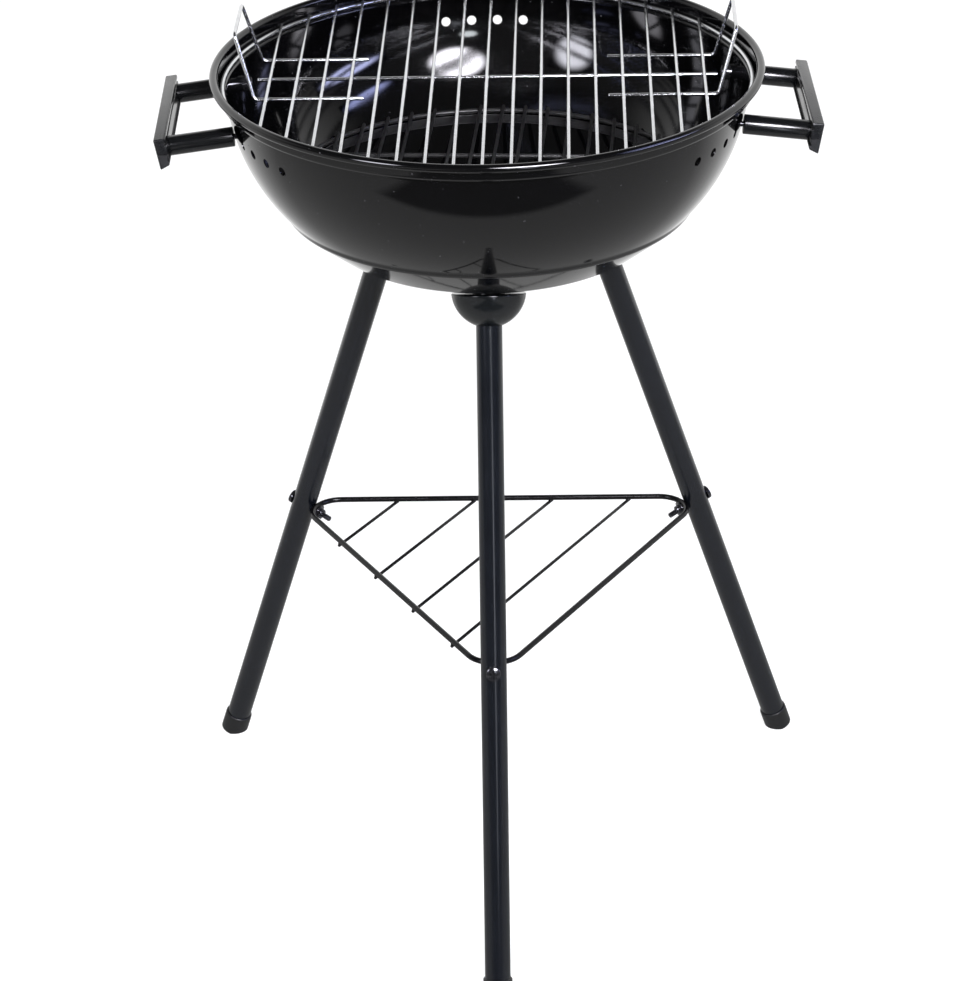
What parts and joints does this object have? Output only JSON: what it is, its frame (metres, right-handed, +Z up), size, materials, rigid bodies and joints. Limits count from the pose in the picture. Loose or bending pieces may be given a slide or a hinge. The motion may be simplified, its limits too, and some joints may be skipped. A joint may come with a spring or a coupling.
{
  "type": "charcoal grill",
  "caption": "Open round charcoal grill: gloss enamel bowl on splayed tube legs with a wire shelf, side handles, a lift-out wire cooking grate and a coal grate inside.",
  "frame": {"origin": "centre of the whole grill's footprint box, on the floor", "axes": "+Z up; -Y towards the front leg; X across the grill, with the side handles 1.85 degrees off it because the bowl sits turned on its legs; the bowl's axis stands 40.8 mm behind the origin on +Y"},
  "size_m": [0.5392, 0.5316, 0.755],
  "materials": {
    "bowl_enamel": "high-gloss black vitreous enamel on pressed steel",
    "leg_paint": "satin black powder coat on steel tube",
    "socket_paint": "gloss black moulding",
    "cap_plastic": "satin black moulded plastic",
    "shelf_wire": "black painted wire",
    "black_fasteners": "blackened steel",
    "zinc_steel": "zinc plated steel",
    "handle_paint": "gloss black paint on steel tube",
    "grip_plastic": "satin charcoal-grey moulded plastic",
    "grate_chrome": "bright chrome plated wire",
    "coal_wire": "dark painted wire"
  },
  "bodies": {
    "grill": {"bowl_dish": "bowl_enamel", "bowl_wall": "bowl_enamel", "bowl_rim": "bowl_enamel", "wire_shelf": "shelf_wire", "leg_plugs": "zinc_steel", "leg_washers": "zinc_steel", "leg_bolts": "zinc_steel", "shelf_screws": "black_fasteners", "shelf_washers": "black_fasteners", "shelf_nuts": "black_fasteners", "grip_inserts": "zinc_steel", "handle_washers": "black_fasteners", "handle_bolts": "black_fasteners", "leg_front": "leg_paint", "leg_socket_front": "socket_paint", "foot_cap_front": "cap_plastic", "leg_right": "leg_paint", "leg_socket_right": "socket_paint", "foot_cap_right": "cap_plastic", "leg_left": "leg_paint", "leg_socket_left": "socket_paint", "foot_cap_left": "cap_plastic", "grip_left": "grip_plastic", "handle_tube_left_front": "handle_paint", "handle_tube_left_rear": "handle_paint", "grip_right": "grip_plastic", "handle_tube_right_front": "handle_paint", "handle_tube_right_rear": "handle_paint"},
    "cooking_grate": {"grate_ring": "grate_chrome", "grate_bars": "grate_chrome", "grate_rod": "grate_chrome", "grate_handle_left": "grate_chrome", "grate_handle_right": "grate_chrome"},
    "coal_grate": {"coal_ring": "coal_wire", "coal_bars": "coal_wire", "coal_rods": "coal_wire"}
  },
  "joints": [
    {"name": "cooking_grate_lift", "type": "slide", "parent": "grill", "child": "cooking_grate", "axis": [0, 0, 1], "range_m": [0, 0.15]},
    {"name": "coal_grate_lift", "type": "slide", "parent": "grill", "child": "coal_grate", "axis": [0, 0, 1], "range_m": [0, 0.08]}
  ]
}
